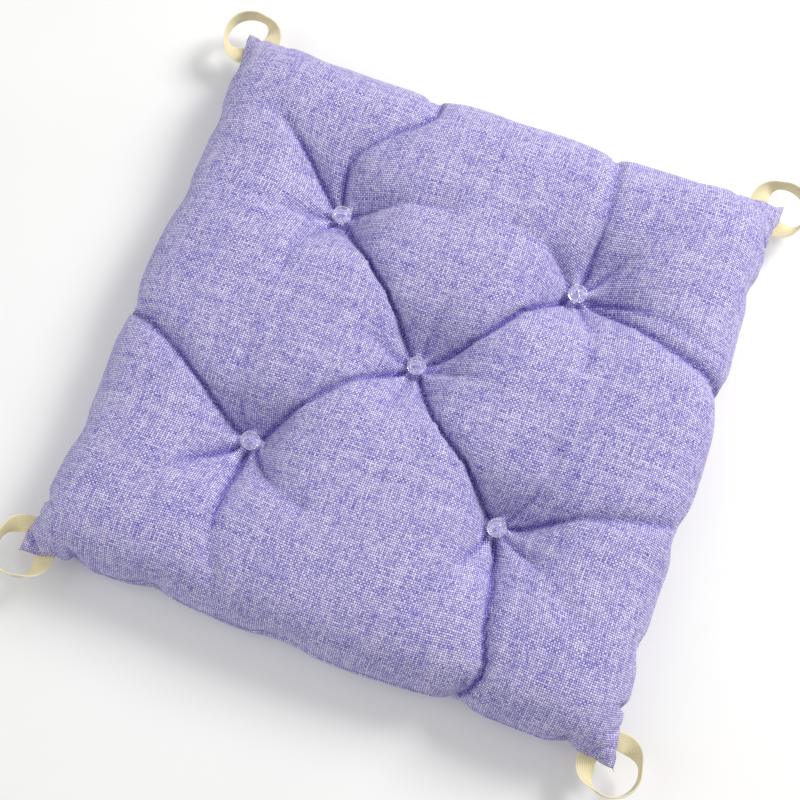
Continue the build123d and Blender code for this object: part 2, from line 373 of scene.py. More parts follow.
def make_weave_group():
    """Plain weave over flat cloth coordinates: round yarns that pass over and under, with slubs."""
    g, given, out = new_group(
        "Plain Weave",
        {"Place": None, "Pitch": 0.00125, "Slub": 0.5, "Wander": 0.5, "Speck": 0.3},
        ("Height", "Tone", "Warp", "Gap"),
    )
    turns = g.scaled(given["Place"], g.maths("DIVIDE", 1.0, given["Pitch"]))
    slow = g.node("ShaderNodeTexNoise", noise_dimensions="3D")
    slow = g.named(slow, "Color", vector=turns, scale=0.11, detail=2.0)
    drift = g.scaled(g.vector("SUBTRACT", slow, (0.5, 0.5, 0.5)), given["Wander"])
    across, along, _ = g.split(g.vector("ADD", turns, g.scaled(drift, 3.0)))
    warp_no, weft_no = g.maths("FLOOR", across), g.maths("FLOOR", along)
    in_warp, in_weft = g.maths("FRACT", across), g.maths("FRACT", along)
    odd = g.maths("FLOORED_MODULO", g.maths("ADD", warp_no, weft_no), 2.0)
    side = g.maths("MULTIPLY_ADD", odd, -2.0, 1.0)

    def yarn(number, run, salt):
        """The yarn's own shade, streaked along its length, from 0 to 1."""
        own = g.chance(g.maths("ADD", number, salt))
        place = g.joined(g.maths("MULTIPLY", number, 7.31), g.maths("MULTIPLY", run, 0.16), salt)
        streak = g.ranged(g.noise(place, 1.0, 2.0, 0.65), 0.28, 0.72, smooth=False)
        return g.mix_value(0.62, own, streak)

    warp_tone, weft_tone = yarn(warp_no, along, 3.7), yarn(weft_no, across, 61.3)

    def raised(place_across, place_along, tone, up):
        """Height of a round yarn that rises where it passes over."""
        thick = g.maths("MULTIPLY_ADD", g.maths("SUBTRACT", tone, 0.5), given["Slub"], 1.0)
        off = g.maths("MULTIPLY_ADD", place_across, 2.0, -1.0)
        off = g.maths("DIVIDE", g.maths("MULTIPLY", off, off), g.maths("MULTIPLY", thick, thick))
        curve = g.maths("SUBTRACT", 1.0, off, clamp=True)
        arch = g.maths("SINE", g.maths("MULTIPLY", place_along, math.pi))
        lift = g.maths("MULTIPLY", g.maths("MULTIPLY", arch, up), 0.5)
        return g.maths("MULTIPLY_ADD", curve, 0.5, lift)

    warp_high = raised(in_warp, in_weft, warp_tone, side)
    weft_high = raised(in_weft, in_warp, weft_tone, g.maths("MULTIPLY", side, -1.0))
    height = g.maths("MAXIMUM", warp_high, weft_high)
    over = g.maths("GREATER_THAN", warp_high, weft_high)
    g.put(out["Height"], height)
    speck = g.node("ShaderNodeTexWhiteNoise", noise_dimensions="2D")
    speck = g.named(speck, "Value", vector=g.joined(warp_no, weft_no))
    yarn_tone = g.mix_value(over, weft_tone, warp_tone)
    g.put(out["Tone"], g.mix_value(given["Speck"], yarn_tone, speck))
    g.put(out["Warp"], over)
    # Gap marks the low places between the yarns, which the cloth and the band paint dark as shade.
    g.put(out["Gap"], g.ranged(height, 0.80, 0.34))


def make_fibre_group():
    """Soft change of tone, rubbed high spots, painted shade in hollows and loose surface fibres, for
    anything spun or woven.
    """
    g, given, out = new_group(
        "Fibre Wear And Shade",
        {"Place": None, "Cloud Size": 0.03, "Fuzz Size": 0.0006},
        ("Cloud", "Rub", "Hollow", "Fuzz"),
    )
    wide = g.scaled(given["Place"], g.maths("DIVIDE", 1.0, given["Cloud Size"]))
    fine = g.scaled(given["Place"], g.maths("DIVIDE", 1.0, given["Fuzz Size"]))
    g.put(out["Cloud"], g.noise(wide, 1.0, 3.0, 0.55))
    bent = g.node("ShaderNodeNewGeometry").outputs["Pointiness"]
    g.put(out["Rub"], g.ranged(bent, 0.5, 0.56))
    # Hollow marks concave places, which the cloth paints with shade.
    g.put(out["Hollow"], g.ranged(bent, 0.5, 0.43))
    g.put(out["Fuzz"], g.noise(fine, 1.0, 2.0, 0.7))


def make_twist_group():
    """Plies of a twisted thread, as slanting ridges along the axis given first."""
    g, given, out = new_group(
        "Thread Twist", {"Along": 0.0, "Around": 0.0, "Pitch": 0.0011}, ("Ridge", "Ply")
    )
    phase = g.maths("ADD", g.maths("DIVIDE", given["Along"], given["Pitch"]), given["Around"])
    turn = g.maths("FRACT", phase)
    g.put(out["Ridge"], g.maths("SINE", g.maths("MULTIPLY", turn, math.pi)))
    g.put(out["Ply"], g.chance(g.maths("FLOOR", phase)))


def new_material(name):
    made = bpy.data.materials.new(name)
    made.use_nodes = True
    tree = made.node_tree
    tree.nodes.clear()
    g = Graph(tree)
    surface = g.node("ShaderNodeBsdfPrincipled")
    result = g.node("ShaderNodeOutputMaterial")
    tree.links.new(surface.outputs[0], result.inputs["Surface"])
    return made, g, surface.inputs


def attribute(g, name, output="Vector"):
    made = g.node("ShaderNodeAttribute", attribute_type="GEOMETRY", attribute_name=name)
    return made.outputs[output]


def cloth_material(sizes):
    made, g, surface = new_material("lilac_slub_weave")
    place = attribute(g, "flat_place")
    fold = attribute(g, "fold", "Fac")
    weave = g.group(
        "Plain Weave", place=place, pitch=sizes.yarn_pitch, slub=0.4, wander=0.35, speck=0.42
    )
    fibre = g.group("Fibre Wear And Shade", place=place, cloud_size=0.014, fuzz_size=0.0005)
    light, dark = tuple(sizes.light_yarn), tuple(sizes.dark_yarn)
    tone = g.maths("MULTIPLY_ADD", weave["Warp"], 0.18, g.maths("MULTIPLY", weave["Tone"], 0.95))
    tone = g.maths("MULTIPLY_ADD", g.maths("SUBTRACT", fibre["Cloud"], 0.5), 0.30, tone)
    tone = g.ranged(tone, 0.05, 0.85, smooth=False)
    colour = g.mixed(tone, dark, light)
    colour = g.mixed(g.maths("MULTIPLY", fibre["Rub"], 0.22), colour, (0.84, 0.81, 0.98))
    # Painted shade in the gaps between the yarns, where the dark yarn lies in shadow: deeper than the
    # dark yarn's own colour.
    gap_shade = (0.13 * dark[0], 0.11 * dark[1], 0.33 * dark[2])
    colour = g.mixed(g.maths("MULTIPLY", weave["Gap"], 0.92), colour, gap_shade)
    # Painted shade: deep violet multiplied into the creases, along the seam line and into hollows.
    painted_shade = g.maths("MULTIPLY", fold, 0.85)
    painted_shade = g.maths("MAXIMUM", g.maths("MULTIPLY", fibre["Hollow"], 0.45), painted_shade)
    colour = g.mixed(painted_shade, colour, (0.22, 0.17, 0.60), blend="MULTIPLY")
    g.put(surface["Base Color"], colour)
    g.put(surface["Roughness"], g.ranged(fibre["Fuzz"], 0.2, 0.8, 0.82, 0.98))
    relief = g.maths("MULTIPLY_ADD", fibre["Fuzz"], 0.35, weave["Height"])
    g.put(surface["Normal"], g.bump(relief, 0.00042, 0.9))
    surface["Specular IOR Level"].default_value = 0.22
    surface["Sheen Weight"].default_value = 0.15
    surface["Sheen Roughness"].default_value = 0.45
    return made


def elastic_material(sizes):
    made, g, surface = new_material("cream_elastic")
    place = attribute(g, "band_place")
    weave = g.group("Plain Weave", place=place, pitch=0.00062, slub=0.2, wander=0.15, speck=0.2)
    fibre = g.group("Fibre Wear And Shade", place=place, cloud_size=0.012, fuzz_size=0.0004)
    across = g.split(place)[0]
    rib = g.maths("MULTIPLY", across, math.pi * sizes.ribs / 0.012)
    # Painted shade: the grooves between the ribs and the gaps of the weave are coloured towards the tan
    # shade colour.
    groove = g.maths("SUBTRACT", 1.0, g.maths("ABSOLUTE", g.maths("COSINE", rib)))
    dark = g.maths("MULTIPLY_ADD", groove, 0.6, g.maths("MULTIPLY", weave["Gap"], 0.5))
    colour = g.mixed(g.ranged(dark, 0.25, 0.95), sizes.pale, sizes.shade)
    # Blotches of the same tan are the band's own yellowing.
    colour = g.mixed(g.ranged(fibre["Cloud"], 0.35, 0.75, 0.0, 0.25), colour, sizes.shade)
    colour = g.mixed(g.maths("MULTIPLY", fibre["Rub"], 0.3), colour, (0.93, 0.90, 0.76))
    g.put(surface["Base Color"], colour)
    g.put(surface["Roughness"], g.ranged(weave["Tone"], 0.0, 1.0, 0.62, 0.86))
    relief = g.maths("MULTIPLY_ADD", fibre["Fuzz"], 0.3, weave["Height"])
    g.put(surface["Normal"], g.bump(relief, 0.00016, 0.8))
    surface["Specular IOR Level"].default_value = 0.3
    surface["Sheen Weight"].default_value = 0.12
    return made


def thread_material(name, colour, size, marked):
    """Twisted polyester. A marked mesh stores where each point is on its thread."""
    made, g, surface = new_material(name)
    if marked:
        place = attribute(g, "thread_place")
        along, around, _ = g.split(place)
    else:
        place = g.node("ShaderNodeTexCoord").outputs["Object"]
        x, y, z = g.split(place)
        along, around = g.maths("ADD", x, g.maths("ADD", y, z)), 0.0
    twist = g.group("Thread Twist", along=along, around=around, pitch=size)
    fibre = g.group("Fibre Wear And Shade", place=place, cloud_size=0.006, fuzz_size=0.0002)
    low = tuple(0.5 * c for c in colour)
    high = tuple(min(1.0, 1.25 * c + 0.05) for c in colour)
    # The plies' ridges are painted lighter and the grooves between them darker, as painted highlight and
    # painted shade; the Ply term is each ply's own tone.
    tone = g.maths("MULTIPLY_ADD", twist["Ply"], 0.25, g.maths("MULTIPLY", twist["Ridge"], 0.75))
    shaded = g.mixed(tone, low, high)
    shaded = g.mixed(g.ranged(fibre["Cloud"], 0.4, 0.7, 0.0, 0.3), shaded, high)
    g.put(surface["Base Color"], shaded)
    g.put(surface["Roughness"], g.ranged(fibre["Fuzz"], 0.2, 0.8, 0.42, 0.62))
    relief = g.maths("MULTIPLY_ADD", fibre["Fuzz"], 0.15, twist["Ridge"])
    g.put(surface["Normal"], g.bump(relief, 0.00012, 0.9))
    surface["Specular IOR Level"].default_value = 0.45
    return made


def button_material(sizes):
    """Clear moulded plastic with faint flow marks and fine scuffs."""
    made, g, surface = new_material("clear_button_plastic")
    nodes = {node.type: node for node in made.node_tree.nodes}
    place = g.node("ShaderNodeTexCoord").outputs["Object"]
    fibre = g.group("Fibre Wear And Shade", place=place, cloud_size=0.004, fuzz_size=0.0003)
    tint = tuple(sizes.tint)
    flow = g.mixed(g.ranged(fibre["Cloud"], 0.3, 0.7), tint, tuple(0.94 * c for c in tint))
    g.put(surface["Base Color"], flow)
    scuff = g.ranged(g.noise(g.scaled(place, 900.0), 1.0, 3.0, 0.7), 0.58, 0.78)
    rough = g.maths("MULTIPLY_ADD", g.maths("MAXIMUM", scuff, fibre["Rub"]), 0.16, 0.035)
    g.put(surface["Roughness"], rough)
    g.put(surface["Normal"], g.bump(g.noise(g.scaled(place, 260.0), 1.0, 1.0), 0.00006, 0.6))
    surface["Transmission Weight"].default_value = 0.88
    surface["IOR"].default_value = sizes.index
    shadow = g.node("ShaderNodeLightPath").outputs["Is Shadow Ray"]
    solid = nodes["BSDF_PRINCIPLED"].outputs[0]
    clear = g.node("ShaderNodeBsdfTransparent").outputs[0]
    both = g.fed(g.node("ShaderNodeMixShader"), (shadow, solid, clear))
    g.put(nodes["OUTPUT_MATERIAL"].inputs["Surface"], both)
    return made


def paint(obj, material):
    """Gives every slot of a piece this material, on the piece itself."""
    if not obj.material_slots:
        obj.data.materials.append(material)
    for slot in obj.material_slots:
        slot.link = "OBJECT"
        slot.material = material


def new_piece(context, name, mesh, material):
    obj = bpy.data.objects.new(name, mesh)
    context.scene.collection.objects.link(obj)
    paint(obj, material)
    return obj


def store(mesh, name, values):
    """Stores a number or a vector on each point of a mesh."""
    kind, key = ("FLOAT", "value") if values.ndim == 1 else ("FLOAT_VECTOR", "vector")
    mesh.attributes.new(name, kind, "POINT").data.foreach_set(key, values.ravel())


# ---- the cover


def eased(share):
    """Places along a panel's side: even in the middle, closer together near the tips."""
    return share * (EVEN + (1 - EVEN) * np.abs(share) ** 3)


def plan(u, v):
    """The pad's outline: tips at the box's corners, and sides that curve in between."""
    return (
        u * (HALF_X - SIDE_DIP * (1 - np.abs(v) ** DIP_POWER)),
        v * (HALF_Y - SIDE_DIP * (1 - np.abs(u) ** DIP_POWER)),
    )


def flank(inward, run):
    """Rise of a padded side, from 0 at the seam to 1 at run."""
    return 1 - np.clip(1 - inward / run, 0, 1) ** 3


def dimple(distance, flat, run):
    share = np.clip((distance - flat) / (run - flat), 0, 1)
    return 0.5 + 0.5 * np.cos(np.pi * share)


def smooth(low, high, value):
    share = np.clip((value - low) / (high - low), 0, 1)
    return share * share * (3 - 2 * share)


def start_shape(count):
    """Both sheets of cloth over the filling before they settle, as height maps on a grid."""
    ticks = np.linspace(-1, 1, count + 1)
    s, r = np.meshgrid(ticks, ticks, indexing="xy")
    u, v = eased(s), eased(r)
    x, y = plan(u, v)
    near_x, near_y = (1 - np.abs(u)) * HALF_X, (1 - np.abs(v)) * HALF_Y
    from_tufts = [np.hypot(x - a, y - b) for a, b in TUFT_AT.values()]
    well = np.max([dimple(away, WELL_FLOOR, WELL_TOP) for away in from_tufts], 0)
    dent = np.max([dimple(away, WELL_FLOOR, WELL_UNDER) for away in from_tufts], 0)
    height, base = CROWN - 0.002, 0.001
    top = SEAM_Z + (height - SEAM_Z) * flank(near_x, TOP_FLANK) * flank(near_y, TOP_FLANK)
    top = top - (height - TUFT_TOP) * well
    under = SEAM_Z - (SEAM_Z - base) * flank(near_x, UNDER_FLANK) * flank(near_y, UNDER_FLANK)
    under = under + (TUFT_UNDER - base) * dent
    full = smooth(0.006, 0.05, np.hypot(near_x, near_y))
    return x, y, top, under, full


def along_curve(points, depths, steps):
    """A crease's line as a smooth curve through its points, with its depth all along."""
    points, depths = np.array(points) * MM, np.array(depths) * MM
    last = len(points) - 1
    t = np.linspace(0, last, steps)
    i = np.clip(t.astype(int), 0, last - 1)
    f = (t - i)[:, None]
    a, b, c, d = (points[np.clip(i + k, 0, last)] for k in (-1, 0, 1, 2))
    square, cube = (2 * a - 5 * b + 4 * c - d) * f**2, (3 * b - a - 3 * c + d) * f**3
    line = 0.5 * (2 * b + (c - a) * f + square + cube)
    return line, depths[i] * (1 - f[:, 0]) + depths[i + 1] * f[:, 0]


def crease_fields(x, y, reach):
    """How deep each point of the top sheet is drawn down, how firmly, and how much it's in a fold."""
    depth, hold, fold = np.zeros_like(x), np.zeros_like(x), np.zeros_like(x)
    for points, depths, width in CREASES:
        line, deep = along_curve(points, depths, 40)
        nearest, here = np.full(x.shape, 1.0), np.zeros_like(x)
        for a, b, low, high in zip(line[:-1], line[1:], deep[:-1], deep[1:]):
            step = b - a
            t = np.clip(((x - a[0]) * step[0] + (y - a[1]) * step[1]) / (step @ step), 0, 1)
            away = np.hypot(x - a[0] - t * step[0], y - a[1] - t * step[1])
            closer = away < nearest
            nearest = np.where(closer, away, nearest)
            here = np.where(closer, low + (high - low) * t, here)
        strip = np.exp(-((nearest / HOLD_REACH) ** 2))
        depth = np.maximum(depth, here * np.exp(-((nearest / (width * MM)) ** 2)))
        hold = np.maximum(hold, strip * np.clip(here / FULL_DEPTH, 0.15, 1))
        folded = np.clip((here - 0.003) / FULL_DEPTH, 0.0, 1)
        fold = np.maximum(fold, np.exp(-((nearest / reach) ** 2)) * folded)
    return depth, hold, fold


def gather_lines(count):
    """How far each side's seam is drawn in at each of its points."""
    places = eased(np.linspace(-1, 1, count + 1))
    lines = {}
    for side, gathers in GATHERS.items():
        half = HALF_X if side in ("front", "back") else HALF_Y
        drawn = np.zeros(count + 1)
        for place, depth, width in gathers:
            drawn = np.maximum(drawn, depth * np.exp(-(((places * half / MM) - place) / width) ** 2))
        lines[side] = drawn * MM
    return lines


def spring_sets(points, step):
    """Every spring of both sheets, in sets whose springs share no point.

    Each is (first points, second points, length, pull when long, push when short)."""
    every = slice(None)
    sets = []

    def both_ways(gap, pull, push):
        for start in range(2 * gap):
            size = len(range(start, points - gap, 2 * gap))
            if size:
                first = slice(start, start + 2 * gap * (size - 1) + 1, 2 * gap)
                second = slice(start + gap, start + gap + 2 * gap * (size - 1) + 1, 2 * gap)
                sets.append(((every, every, first), (every, every, second), step * gap, pull, push))
                sets.append(((every, first, every), (every, second, every), step * gap, pull, push))

    both_ways(1, 1.0, 0.8)
    for i in (0, 1):
        for j in (0, 1):
            low_i, high_i = slice(i, points - 1, 2), slice(i + 1, points, 2)
            low_j, high_j = slice(j, points - 1, 2), slice(j + 1, points, 2)
            sets.append(((every, low_i, low_j), (every, high_i, high_j), step * 2**0.5, 0.3, 0.15))
            sets.append(((every, low_i, high_j), (every, high_i, low_j), step * 2**0.5, 0.3, 0.15))
    both_ways(2, 0.0, 0.035)
    both_ways(4, 0.0, 0.02)
    return sets


def outward_normals(sheets):
    side, ahead = np.empty_like(sheets), np.empty_like(sheets)
    side[:, :, 1:-1] = sheets[:, :, 2:] - sheets[:, :, :-2]
    side[:, :, 0] = sheets[:, :, 1] - sheets[:, :, 0]
    side[:, :, -1] = sheets[:, :, -1] - sheets[:, :, -2]
    ahead[:, 1:-1] = sheets[:, 2:] - sheets[:, :-2]
    ahead[:, 0] = sheets[:, 1] - sheets[:, 0]
    ahead[:, -1] = sheets[:, -1] - sheets[:, -2]
    normals = np.cross(side, ahead)
    normals /= np.sqrt((normals * normals).sum(-1, keepdims=True)) + 1e-12
    normals[1] *= -1
    return normals


def twice_as_fine(sheets):
    points = 2 * sheets.shape[1] - 1
    fine = np.zeros((2, points, points, 3))
    fine[:, ::2, ::2] = sheets
    fine[:, 1::2, ::2] = (sheets[:, 1:] + sheets[:, :-1]) / 2
    fine[:, :, 1::2] = (fine[:, :, 2::2] + fine[:, :, :-1:2]) / 2
    return fine


def held_points(count, step):
    """The points that the threads and the tips hold, and where they hold them."""
    points = count + 1
    held = np.zeros((2, points, points), bool)
    place = np.zeros((2, points, points, 3))
    index = np.arange(points)
    for x, y in TUFT_AT.values():
        off_j = (index - (TUFT_SHARE * x / TUFT_REACH + 1) / 2 * count) * step
        off_i = (index - (TUFT_SHARE * y / TUFT_REACH + 1) / 2 * count) * step
        rows, columns = np.nonzero(np.hypot(off_j[None, :], off_i[:, None]) < BUTTON_RADIUS)
        for sheet, z in ((0, TUFT_TOP), (1, TUFT_UNDER)):
            level = np.full(len(rows), z)
            place[sheet, rows, columns] = np.stack([x + off_j[columns], y + off_i[rows], level], -1)
            held[sheet, rows, columns] = True
    for i, y in ((0, -HALF_Y), (-1, HALF_Y)):
        for j, x in ((0, -HALF_X), (-1, HALF_X)):
            place[:, i, j] = (x, y, SEAM_Z)
            held[:, i, j] = True
    return held, place


def clear_buttons(sheets, free, windows):
    """Loose cloth next to a button is kept clear of its rim."""
    keep = BUTTON_RADIUS + RIM_GAP
    for x, y, rows, columns in windows:
        near = sheets[:, rows, columns]
        off = near[..., :2] - np.array([x, y])
        away = np.sqrt((off * off).sum(-1, keepdims=True)) + 1e-9
        pushed = off * (keep / away - 1) * 0.7
        near[..., :2] += np.where((away < keep) & (free[:, rows, columns] > 0), pushed, 0.0)
        sheets[:, rows, columns] = near


def settle_seam(sheets, drawn, outline, near_tip):
    """Both sheets share the seam, which the gathers draw in and the sewn corners keep to its outline."""
    every = slice(None)
    sides = (
        ("front", (0, every), 1, 1, HALF_Y),
        ("back", (-1, every), 1, -1, HALF_Y),
        ("left", (every, 0), 0, 1, HALF_X),
        ("right", (every, -1), 0, -1, HALF_X),
    )
    for side, at, axis, inward, half in sides:
        seam = 0.5 * (sheets[(0,) + at] + sheets[(1,) + at])
        wanted = inward * (drawn[side] - (half - SIDE_DIP))
        short = inward * (wanted - seam[:, axis]) > 0
        pulled = (drawn[side] > 0.0008) & short
        seam[:, axis] += np.where(pulled, 0.3 * (wanted - seam[:, axis]), 0.0)
        seam[:, 2] += 0.1 * (SEAM_Z - seam[:, 2])
        seam += near_tip[:, None] * (outline[at] - seam)
        sheets[(0,) + at] = seam
        sheets[(1,) + at] = seam


def level_springs(count, step, fold, free):
    """The springs of one grid, longer in the folds, each with how free its two ends are."""
    springs = []
    for a, b, length, pull, back in spring_sets(count + 1, step):
        slack = (fold[a] + fold[b]) / 2
        stiff = back * (1 - 0.8 * np.maximum(fold[a], fold[b])) if pull == 0.0 else back
        longer = length + FOLD_SLACK * slack * (2 if round(length / step) > 1 else 1)
        springs.append((a, b, longer, pull, stiff, free[a], free[b]))
    return springs


def correct_lengths(sheets, springs):
    for first, second, length, pull, back, free_a, free_b in springs:
        a, b = sheets[first], sheets[second]
        gap = b - a
        long = np.sqrt((gap * gap).sum(-1, keepdims=True)) + 1e-12
        extra = long - length
        share = np.where(extra > 0, pull, back) * extra / long / (free_a + free_b + 1e-9)
        sheets[first] = a + share * free_a * gap
        sheets[second] = b - share * free_b * gap


def button_windows(count, step):
    """The part of the grid round each button, with the button's place."""
    windows = []
    reach = int(0.016 / step) + 1
    for x, y in TUFT_AT.values():
        row, column = ((TUFT_SHARE * place / TUFT_REACH + 1) / 2 * count for place in (y, x))
        rows, columns = (slice(int(at) - reach, int(at) + reach + 2) for at in (row, column))
        windows.append((x, y, rows, columns))
    return windows


def settled_cloth(sizes, levels):
    """The two sewn sheets, blown up by the filling and drawn in by threads, seams and creases.

    Every round moves the points, then corrects each spring's length, first on a coarse grid and
    then on finer ones. The filling pushes along the normals and stops at the crown's height."""
    rng = np.random.default_rng(sizes.seed)
    sheets = None
    for count, rounds in levels:
        points, step = count + 1, sizes.flat_side / count
        x, y, top, under, full = start_shape(count)
        depth, hold, fold = crease_fields(x, y, 0.9 * step)
        fold = np.stack([fold, np.zeros_like(fold)])[..., None]
        if sheets is None:
            sheets = np.stack([np.stack([x, y, top - depth], -1), np.stack([x, y, under], -1)])
        else:
            sheets = twice_as_fine(sheets)
        sheets[..., 2] += rng.normal(0, JITTER, sheets.shape[:3])
        held, place = held_points(count, step)
        free = np.where(held, 0.0, 1.0)[..., None]
        springs = level_springs(count, step, fold, free)
        drawn = gather_lines(count)
        windows = button_windows(count, step)
        outline = np.stack([x, y, np.full_like(x, SEAM_Z)], -1)
        from_tip = (1 - np.abs(eased(np.linspace(-1, 1, points)))) * HALF_X
        near_tip = 0.6 * (1 - smooth(0.022, 0.040, from_tip))
        floor_of_crease = top - depth
        speed = np.zeros_like(sheets)
        push = sizes.fullness * PUSH * (96 / count) * full[..., None]
        for _ in range(rounds):
            force = push * outward_normals(sheets)
            below = CROWN + CROWN_OVER - sheets[0, ..., 2]
            force[0] *= np.clip(below / CROWN_FADE, 0, 1)[..., None]
            speed = speed + force
            before = sheets.copy()
            sheets = sheets + speed * free
            correct_lengths(sheets, springs)
            above = np.maximum(sheets[0, ..., 2] - floor_of_crease, 0)
            sheets[0, ..., 2] -= 0.5 * hold * above
            settle_seam(sheets, drawn, outline, near_tip)
            clear_buttons(sheets, free, windows)
            sheets[held] = place[held]
            sheets[1, ..., 2] = np.maximum(sheets[1, ..., 2], FLOOR_GAP)
            sheets[0, ..., 2] = np.maximum(sheets[0, ..., 2], LEAST_TOP)
            speed = (sheets - before) * KEPT_SPEED
    return sheets


def cover_mesh(sheets, flat_side):
    """One closed mesh of both sheets, with the flat cloth's coordinates stored on it."""
    points = sheets.shape[1]
    top = np.arange(points * points).reshape(points, points)
    under = top.copy()
    inner = np.arange((points - 2) ** 2).reshape(points - 2, points - 2)
    under[1:-1, 1:-1] = points * points + inner
    ticks = np.linspace(-0.5, 0.5, points) * flat_side
    s, r = np.meshgrid(ticks, ticks, indexing="xy")
    flat = np.stack([s, r, np.zeros_like(s)], -1)
    places = np.concatenate([sheets[0].reshape(-1, 3), sheets[1, 1:-1, 1:-1].reshape(-1, 3)])
    flats = np.concatenate([flat.reshape(-1, 3), flat[1:-1, 1:-1].reshape(-1, 3)])

    def quads(grid, turned):
        a, b, c, d = grid[:-1, :-1], grid[:-1, 1:], grid[1:, 1:], grid[1:, :-1]
        return np.stack([a, d, c, b] if turned else [a, b, c, d], -1).reshape(-1, 4)

    faces = np.concatenate([quads(top, False), quads(under, True)])
    mesh = bpy.data.meshes.new("cushion_cover")
    mesh.vertices.add(len(places))
    mesh.vertices.foreach_set("co", places.ravel())
    mesh.loops.add(faces.size)
    mesh.loops.foreach_set("vertex_index", faces.ravel().astype(np.int32))
    mesh.polygons.add(len(faces))
    mesh.polygons.foreach_set("loop_start", np.arange(0, faces.size, 4, dtype=np.int32))
    mesh.update(calc_edges=True)
    mesh.validate()
    store(mesh, "flat_place", flats)
    # The fold mask stored here only colours the cloth: painted shade along the creases, and along the
    # seam at SEAM_SHADE.
    x, y, *_ = start_shape(points - 1)
    painted_fold_shade = np.zeros(len(places), np.float32)
    fold = crease_fields(x, y, FOLD_REACH)[2]
    for at in (0, -1):
        fold[at] = np.maximum(fold[at], SEAM_SHADE)
        fold[:, at] = np.maximum(fold[:, at], SEAM_SHADE)
    painted_fold_shade[: points * points] = fold.ravel()
    store(mesh, "fold", painted_fold_shade)
    layer = mesh.uv_layers.new(name="OFBake")
    uv = flats[faces.ravel(), :2] / flat_side + 0.5
    uv = uv * np.array([0.49, 0.98]) + np.array([0.005, 0.01])
    uv[len(uv) // 2 :, 0] += 0.5
    layer.uv.foreach_set("vector", uv.ravel())
    mesh.shade_smooth()
    return mesh


SETTLED = {}  # the cloth as it settled, which the closing stitches follow


class SEATPAD_OT_cover(bpy.types.Operator):
    """Settle the two sewn panels over their filling and between the tufts"""

    bl_idname = "seatpad.cover"
    bl_label = "Cushion cover"

    def execute(self, context):
        sizes = context.scene.seat_pad_cloth
        sheets = settled_cloth(sizes, LEVELS)
        SETTLED["sheets"] = sheets
        drawn = sheets.copy()
        for at, inward in ((0, 1), (-1, -1)):
            drawn[:, at, 1:-1, 1] += inward * SEAM_GROOVE
            drawn[:, 1:-1, at, 0] += inward * SEAM_GROOVE
        mesh = cover_mesh(drawn, sizes.flat_side)
        obj = new_piece(context, "cushion_cover", mesh, cloth_material(sizes))
        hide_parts("top_panel", "bottom_panel", "filling", "seam_allowance", "seam_thread")
        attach(obj, "pad")
        return {"FINISHED"}


# ---- bands and stitches


def tube_mesh(name, lines, radius, around=8):
    """Round threads along lines of points, with domed ends, and where each point is on its thread."""
    places, faces, marks = [], [], []
    for line in lines:
        line = np.array(line)
        start = len(places)
        run = 0.0
        rings = []
        for i, point in enumerate(line):
            ahead = line[min(i + 1, len(line) - 1)] - line[max(i - 1, 0)]
            ahead = ahead / np.linalg.norm(ahead)
            side = np.cross(ahead, (0.31, 0.17, 0.93))
            side /= np.linalg.norm(side)
            up = np.cross(side, ahead)
            if i:
                run += np.linalg.norm(point - line[i - 1])
            rings.append((point, side, up, ahead, run))
        first, last = rings[0], rings[-1]
        stack = [(first, -0.9, 0.45), (first, -0.5, 0.85)]
        stack += [(ring, 0.0, 1.0) for ring in rings]
        stack += [(last, 0.5, 0.85), (last, 0.9, 0.45)]
        for (point, side, up, ahead, run), out, size in stack:
            for k in range(around):
                angle = 2 * math.pi * k / around
                spoke = side * math.cos(angle) + up * math.sin(angle)
                places.append(point + ahead * out * radius + radius * size * spoke)
                marks.append((run + out * radius, k / around, 0.0))
        for ring in range(len(stack) - 1):
            for k in range(around):
                a, b = start + ring * around + k, start + ring * around + (k + 1) % around
                faces.append((a, b, b + around, a + around))
        end = start + (len(stack) - 1) * around
        faces.append(tuple(start + k for k in reversed(range(around))))
        faces.append(tuple(end + k for k in range(around)))
    mesh = bpy.data.meshes.new(name)
    mesh.from_pydata([tuple(p) for p in places], [], faces)
    store(mesh, "thread_place", np.array(marks, float))
    mesh.shade_smooth()
    return mesh


def on_row(row, x):
    """The point of a row of the cloth that stands at this x."""
    return np.array([np.interp(x, row[:, 0], row[:, k]) for k in range(3)])


class SEATPAD_OT_closing_stitches(bpy.types.Operator):
    """Sew the hand stitches that close the back seam, over the settled seam"""

    bl_idname = "seatpad.closing_stitches"
    bl_label = "Closing stitches"

    def execute(self, context):
        if "sheets" not in SETTLED:
            raise RuntimeError("the closing stitches follow the cover, which isn't made yet")
        sizes = context.scene.seat_pad_threads
        low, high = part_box("closing_stitches")
        sheets = SETTLED["sheets"]
        top, under = sheets[0, -3:], sheets[1, -3:]
        lean = 0.9 * MM
        lift = sizes.diameter * 0.35
        lines = []
        for i in range(STITCHES):
            x = low.x + (high.x - low.x) * (i + 0.5) / STITCHES
            upper, seam = on_row(top[1], x + lean), on_row(top[2], x)
            lower = on_row(under[1], x - lean)
            upper[2] += lift
            lower[2] -= lift
            seam[1] += lift - 0.4 * MM
            middle_up, middle_low = (upper + seam) / 2, (lower + seam) / 2
            middle_up[2] += lift
            middle_low[2] -= lift
            lines.append([upper, middle_up, seam, middle_low, lower])
        mesh = tube_mesh("closing_thread", lines, sizes.diameter / 2)
        material = thread_material("closing_polyester", tuple(sizes.colour), 0.0005, True)
        obj = new_piece(context, "closing_thread", mesh, material)
        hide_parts("closing_stitches")
        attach(obj, "pad")
        return {"FINISHED"}


def signs(corner):
    """Which way a corner lies, along X and along Y."""
    return (1 if "right" in corner else -1), (1 if "back" in corner else -1)


